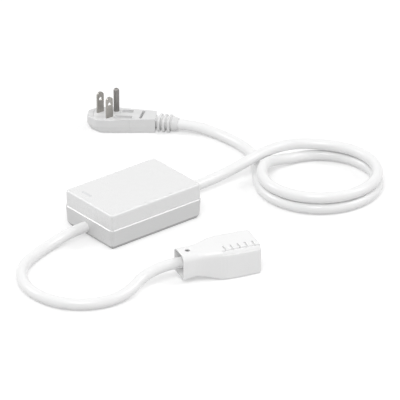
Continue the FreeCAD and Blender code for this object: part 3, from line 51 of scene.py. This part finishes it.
across = Vector((math.cos(camera_turn), -math.sin(camera_turn), 0.0))
ahead = Vector((math.cos(camera_tilt) * math.sin(camera_turn),
                math.cos(camera_tilt) * math.cos(camera_turn),
                -math.sin(camera_tilt)))
above = across.cross(ahead)
camera_data = bpy.data.cameras.new("camera")
camera_data.sensor_width = 36.0
camera_data.lens = 360.0
camera_data.clip_end = 30.0
camera = bpy.data.objects.new("camera", camera_data)
bpy.context.scene.collection.objects.link(camera)
camera_place = Matrix.Translation(across * camera_right + above * camera_up - ahead * camera_back)
camera_facing = Matrix((across, above, -ahead)).transposed().to_4x4()
camera.matrix_world = camera_place @ camera_facing
bpy.context.scene.camera = camera
bpy.context.scene.view_settings.view_transform = "Standard"


# Shader expressions: a signal is a socket that can be added and multiplied, and a finish
# is one material whose surface is written with them.
class Signal:
    def __init__(self, finish, socket):
        self.finish = finish
        self.socket = socket

    def __add__(self, other):
        return self.finish.maths("ADD", self, other)

    def __radd__(self, other):
        return self.finish.maths("ADD", other, self)

    def __sub__(self, other):
        return self.finish.maths("SUBTRACT", self, other)

    def __rsub__(self, other):
        return self.finish.maths("SUBTRACT", other, self)

    def __mul__(self, other):
        return self.finish.maths("MULTIPLY", self, other)

    def __rmul__(self, other):
        return self.finish.maths("MULTIPLY", other, self)

    def clipped(self):
        return self.finish.node("ShaderNodeClamp", {}, {0: self, 1: 0.0, 2: 1.0})


class Finish:
    def __init__(self, name, **fixed):
        self.material = bpy.data.materials.new(name)
        self.material.use_nodes = True
        self.tree = self.material.node_tree
        self.shader = self.tree.nodes["Principled BSDF"]
        for socket, value in fixed.items():
            self.shader.inputs[socket.replace("_", " ")].default_value = value

    def node(self, kind, settings, inputs, output=0):
        made = self.tree.nodes.new(kind)
        for name, value in settings.items():
            setattr(made, name, value)
        for key, value in inputs.items():
            if isinstance(value, Signal):
                self.tree.links.new(value.socket, made.inputs[key])
            else:
                made.inputs[key].default_value = value
        return Signal(self, made.outputs[output])

    def maths(self, operation, first, second):
        return self.node("ShaderNodeMath", {"operation": operation}, {0: first, 1: second})

    def mixed(self, share, first, second):
        return self.node("ShaderNodeMix", {"data_type": "RGBA"}, {0: share, 6: first, 7: second}, 2)

    def noise(self, scale, detail=2.0, stretch=(1.0, 1.0, 1.0)):
        place = self.node("ShaderNodeTexCoord", {}, {}, "Object")
        place = self.node("ShaderNodeMapping", {}, {"Vector": place, "Scale": stretch})
        return self.node("ShaderNodeTexNoise", {},
                         {"Vector": place, "Scale": scale, "Detail": detail})

    def bumped(self, height, strength, distance):
        return self.node("ShaderNodeBump", {},
                         {"Strength": strength, "Distance": distance, "Height": height})

    def feed(self, socket, signal):
        self.tree.links.new(signal.socket, self.shader.inputs[socket])


# Floor and light: a plain white table under an even white sky, with one soft lamp in front
# and one on each side. The table is lit for direct rays, so it reads white, and it bounces
# light back under the part and keeps a faint shadow.
table_tone = (0.65, 0.65, 0.65, 1.0)
table_glow = 0.40
table_half = 4.0
table_drop = 0.0002
sky_on_part = 0.58
sky_seen = 1.0
lamp_aim = (0.0, 0.0, 0.0)


def plain_table():
    finish = Finish("table_white", Base_Color=table_tone, Roughness=0.9,
                    Emission_Color=(1.0, 1.0, 1.0, 1.0))
    seen = finish.node("ShaderNodeLightPath", {}, {}, "Is Camera Ray")
    mirrored = finish.node("ShaderNodeLightPath", {}, {}, "Is Glossy Ray")
    through = finish.node("ShaderNodeLightPath", {}, {}, "Is Transmission Ray")
    finish.feed("Emission Strength", (seen + mirrored + through).clipped() * table_glow)
    return finish.material


def soft_box(name, place, size, power):
    data = bpy.data.lights.new(name, "AREA")
    data.shape = "SQUARE"
    data.size = size
    data.energy = power
    lamp = bpy.data.objects.new(name, data)
    lamp.location = place
    towards = Vector(lamp_aim) - Vector(place)
    lamp.rotation_euler = towards.to_track_quat("-Z", "Y").to_euler()
    bpy.context.scene.collection.objects.link(lamp)


table_corners = [(-table_half, -table_half, -table_drop), (table_half, -table_half, -table_drop),
                 (table_half, table_half, -table_drop), (-table_half, table_half, -table_drop)]
table_mesh = bpy.data.meshes.new("table")
table_mesh.from_pydata(table_corners, [], [(0, 1, 2, 3)])
table_mesh.materials.append(plain_table())
table = bpy.data.objects.new("table", table_mesh)
bpy.context.scene.collection.objects.link(table)

world = bpy.data.worlds.new("studio")
bpy.context.scene.world = world
world.use_nodes = True
sky = world.node_tree
path = sky.nodes.new("ShaderNodeLightPath")
direct = path.outputs["Is Camera Ray"]
for ray in ("Is Glossy Ray", "Is Transmission Ray"):
    either = sky.nodes.new("ShaderNodeMath")
    either.operation = "MAXIMUM"
    sky.links.new(direct, either.inputs[0])
    sky.links.new(path.outputs[ray], either.inputs[1])
    direct = either.outputs[0]
level = sky.nodes.new("ShaderNodeMapRange")
level.inputs["To Min"].default_value = sky_on_part
level.inputs["To Max"].default_value = sky_seen
sky.links.new(direct, level.inputs["Value"])
sky.links.new(level.outputs[0], sky.nodes["Background"].inputs["Strength"])
sky.nodes["Background"].inputs["Color"].default_value = (1.0, 1.0, 1.0, 1.0)

soft_box("soft_box_front", (-1.0, -1.02, 2.05), 0.8, 18.0)
soft_box("soft_box_right", (1.25, -0.95, 1.55), 0.6, 9.5)
soft_box("soft_box_left", (-1.05, 1.5, 1.3), 0.6, 9.5)


# Box: two shells moulded in white plastic with a fine grain. The lower one is coloured a shade darker
# as painted shade, and its drawn-in foot darker still as a painted shadow.
upper_white = (0.82, 0.82, 0.82)
# Painted shade: the lower shell is coloured darker than the upper one, for the shade on its tapered
# sides.
lower_white_painted_shade = (0.70, 0.70, 0.70)
# Painted shadow: up to this height the lower shell's colour is darkened, for the shadow along the
# box's bottom edge.
painted_shadow_top = 0.0031
painted_shadow_edge = 4000.0
painted_shadow_share = 0.55
cloud_share = 0.965


def moulded(name, colour, roughness, grain, depth, foot=0.0, **fixed):
    """Injection-moulded plastic: an even colour, a fine grain and faint changes of sheen.

    Under the height named foot, in metres, the colour is darker: a painted shadow.
    """
    finish = Finish(name, IOR=1.5, Coat_Weight=0.4, Coat_Roughness=0.18, **fixed)
    cloud = finish.noise(30.0, 3.0)
    fine = finish.noise(grain, 2.0)
    deeper = tuple(channel * cloud_share for channel in colour) + (1.0,)
    tone = finish.mixed(cloud, colour + (1.0,), deeper)
    if foot:
        # Painted shadow: under the height foot the colour is blended to a darker copy.
        place = finish.node("ShaderNodeTexCoord", {}, {}, "Object")
        height = finish.node("ShaderNodeSeparateXYZ", {}, {"Vector": place}, "Z")
        painted_shadow_mask = ((foot - height) * painted_shadow_edge).clipped()
        tone = finish.mixed(painted_shadow_mask, tone, tuple(channel * painted_shadow_share for channel in colour) + (1.0,))
    finish.feed("Base Color", tone)
    finish.feed("Roughness", roughness + (cloud - 0.5) * 0.12 + (fine - 0.5) * 0.08)
    finish.feed("Normal", finish.bumped(fine, depth, 0.00004))
    return finish.material


def dress(material, *names):
    """Give carried-over solids a finish."""
    for name in names:
        nodes[name].data.materials.clear()
        nodes[name].data.materials.append(material)


dress(moulded("shell_upper_white", upper_white, 0.28, 1500.0, 0.03), "upper_shell")
dress(moulded("shell_lower_white_painted_shade", lower_white_painted_shade, 0.30, 1500.0, 0.03, foot=painted_shadow_top), "lower_shell")
dress(moulded("clamp_white", (0.80, 0.80, 0.80), 0.5, 900.0, 0.2),
      "input_cord_clamp", "output_cord_clamp")
dress(moulded("button_white", (0.80, 0.80, 0.80), 0.35, 1800.0, 0.1), "pairing_button")
dress(moulded("window_clear", (0.74, 0.75, 0.76), 0.22, 900.0, 0.05), "status_window")


# Inside the box: the screws, the conductors, the board with its parts, and the relay. All
# of it is closed in, so the finishes are plain ones for each kind of part.
def metal(name, colour, roughness, stretch):
    """Rolled or drawn metal: fine streaks along its grain and duller patches from handling."""
    finish = Finish(name, Metallic=1.0)
    streak = finish.noise(900.0, 3.0, stretch)
    patch = finish.noise(160.0, 3.0)
    darker = tuple(channel * 0.78 for channel in colour) + (1.0,)
    finish.feed("Base Color", finish.mixed(patch, colour + (1.0,), darker))
    finish.feed("Roughness", roughness + (streak - 0.5) * 0.25 + (patch - 0.5) * 0.12)
    finish.feed("Normal", finish.bumped(streak, 0.12, 0.00002))
    return finish.material


dress(metal("screw_steel", (0.62, 0.62, 0.63), 0.3, (1.0, 1.0, 1.0)),
      "housing_screws", "inner_screws", "terminal_screws")
dress(metal("relay_iron", (0.58, 0.58, 0.58), 0.38, (1.0, 0.1, 1.0)),
      "relay_yoke", "relay_core", "relay_armature")
dress(metal("shield_tin", (0.70, 0.70, 0.70), 0.28, (0.2, 1.0, 1.0)), "radio_shield")
dress(metal("crimp_copper", (0.72, 0.40, 0.24), 0.35, (0.2, 1.0, 1.0)),
      "ground_splice", "relay_winding")
dress(metal("contact_brass", (0.80, 0.62, 0.30), 0.3, (1.0, 1.0, 0.2)),
      "line_contact", "neutral_contact", "ground_contact", "relay_moving_contact",
      "relay_fixed_contact", "relay_pins", "fuse_clips")
dress(moulded("wire_black", (0.03, 0.03, 0.03), 0.45, 900.0, 0.1),
      "line_leads", "plug_conductors", "connector_conductors")
dress(moulded("wire_white", (0.80, 0.80, 0.78), 0.45, 900.0, 0.1), "neutral_leads")
dress(moulded("wire_green", (0.03, 0.32, 0.10), 0.45, 900.0, 0.1), "ground_leads")
dress(moulded("board_green", (0.02, 0.20, 0.08), 0.35, 700.0, 0.1), "circuit_board", "radio_board")
dress(moulded("terminal_grey", (0.20, 0.22, 0.24), 0.4, 900.0, 0.1), "terminal_blocks")
dress(moulded("fuse_glass", (0.78, 0.82, 0.82), 0.1, 500.0, 0.02, Transmission_Weight=0.6), "fuse")
dress(moulded("component_blue", (0.05, 0.16, 0.45), 0.25, 700.0, 0.1), "varistor")
dress(moulded("component_yellow", (0.85, 0.62, 0.12), 0.25, 700.0, 0.1),
      "film_capacitor", "transformer_winding")
dress(moulded("component_black", (0.03, 0.03, 0.035), 0.4, 900.0, 0.15),
      "chip_packages", "bulk_capacitors", "transformer_bobbin", "chip_resistors",
      "tact_switch", "tact_plunger", "relay_case", "relay_base", "relay_bobbin")
dress(moulded("ferrite_grey", (0.10, 0.10, 0.11), 0.6, 1200.0, 0.3), "transformer_core")
dress(moulded("led_lens", (0.85, 0.90, 0.85), 0.15, 400.0, 0.02), "status_led")


# Cords: three-core flexible cord in white plastic, 8.8 mm across. The input cord rises over
# its own tail, lies in two stacked loops and goes back to the plug. The output cord is short.
# Points are in millimetres.
cord_radius = 0.0044
cord_pale = (0.91, 0.91, 0.91, 1.0)
cord_deep = (0.89, 0.89, 0.89, 1.0)
loop_centre = (150.9, -47.3)
loop_centre_moves = 0.1
loop_radius = 46.6
loop_radius_grows = 0.6
loop_control_out = 0.5
loop_entry_out = 4.6
loop_tuck = 1.8
loop_entry_z = 15.1
loop_settles = 1.4
loop_drops = 9.3
loop_turned = 664.0
loop_steps = 38


def cord_material():
    finish = Finish("cord_white", IOR=1.5, Coat_Weight=0.4, Coat_Roughness=0.25)
    cloud = finish.noise(45.0, 3.0)
    fine = finish.noise(1400.0, 2.0)
    ring = finish.noise(260.0, 1.0)
    finish.feed("Base Color", finish.mixed(cloud, cord_pale, cord_deep))
    finish.feed("Roughness", 0.34 + (cloud - 0.5) * 0.12)
    finish.feed("Normal", finish.bumped(fine + ring * 0.6, 0.10, 0.00005))
    return finish.material


def cord(name, route, replaced):
    curve = bpy.data.curves.new(name, "CURVE")
    curve.dimensions = "3D"
    spline = curve.splines.new("NURBS")
    spline.points.add(len(route) - 1)
    for point, (x, y, z) in zip(spline.points, route):
        point.co = (x / 1000, y / 1000, z / 1000, 1.0)
    spline.order_u = 3
    spline.use_endpoint_u = True
    spline.resolution_u = 14
    curve.bevel_depth = cord_radius
    curve.bevel_resolution = 7
    curve.use_fill_caps = True
    piece = bpy.data.objects.new(name, curve)
    bpy.context.scene.collection.objects.link(piece)
    curve.materials.append(jacket)
    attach(piece, "module")
    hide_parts(*replaced)


def eased(value, low, high):
    share = min(max((value - low) / (high - low), 0.0), 1.0)
    return share * share * (3 - 2 * share)


def loop_point(turned):
    """A control point after this many degrees of the two loops, clockwise from above.

    It lies a little outside the cord's middle, because the spline cuts the corners.
    """
    share = eased(turned, 335, 430)
    radius = loop_radius + loop_radius_grows * share
    radius += loop_entry_out * (1 - eased(turned, 0, 50)) + loop_control_out
    radius -= loop_tuck * (eased(turned, 270, 330) - eased(turned, 350, 400))
    angle = math.radians(90 - turned)
    height = loop_entry_z - loop_settles * eased(turned, 0, 60) - loop_drops * eased(turned, 320, 376)
    return (loop_centre[0] + loop_centre_moves * share + radius * math.cos(angle),
            loop_centre[1] + loop_centre_moves * share + radius * math.sin(angle), height)


jacket = cord_material()
dress(jacket, "box_jacket_ends", "moulded_jacket_ends")
loops = [loop_point(loop_turned * step / loop_steps) for step in range(loop_steps + 1)]
lead = [(45.0, 3.5, 7.8), (62.0, 3.5, 7.8), (86.0, 3.6, 8.3), (104.0, 2.6, 11.2),
        (122.0, 2.2, 14.5), (134.0, 3.9, 15.1)]
tail = [(126.3, 0.6, 4.4), (141.0, 22.0, 4.4), (144.7, 40.7, 4.4), (144.3, 59.1, 4.4),
        (142.3, 74.2, 4.4), (136.26, 89.08, 6.2), (127.23, 101.06, 6.2)]
cord("input_cord", lead + loops + tail,
     ["input_cord_lead", "input_cord_coil", "input_cord_tail"])
outgoing = [(-45.0, 3.5, 7.8), (-58.5, 3.5, 7.8), (-74.5, 3.0, 5.2), (-96.2, -2.3, 4.4),
            (-118.2, -12.0, 4.4), (-132.4, -30.0, 4.4), (-138.0, -50.9, 4.4),
            (-134.1, -72.8, 4.4), (-121.2, -89.6, 4.4), (-102.2, -98.6, 4.4),
            (-81.8, -98.3, 5.6), (-64.0, -91.4, 9.8), (-44.78, -92.85, 13.5), (-32.4, -96.8, 13.5)]
cord("output_cord_flex", outgoing,
     ["output_cord"])


# Plug: a flat moulding with a harder block that carries the prongs, and a ribbed relief.
# The blades are bright nickel and the round pin is a duller one.
dress(moulded("plug_white", (0.77, 0.77, 0.77), 0.42, 1300.0, 0.15),
      "plug_body", "plug_strain_relief")
dress(metal("blade_nickel", (0.43, 0.415, 0.39), 0.32, (1.0, 1.0, 0.08)),
      "line_blade", "neutral_blade")
dress(metal("pin_nickel", (0.30, 0.29, 0.28), 0.36, (1.0, 1.0, 0.08)), "ground_pin")
carrier_finish = moulded("carrier_white", (0.82, 0.82, 0.82), 0.35, 1600.0, 0.1)
dress(carrier_finish, "plug_pin_carrier")


# Connector: a paler moulding with the socket block in its face, in the plug block's
# material.
dress(moulded("moulding_white", (0.90, 0.90, 0.90), 0.42, 1300.0, 0.15), "connector_body")
dress(carrier_finish, "connector_insert")
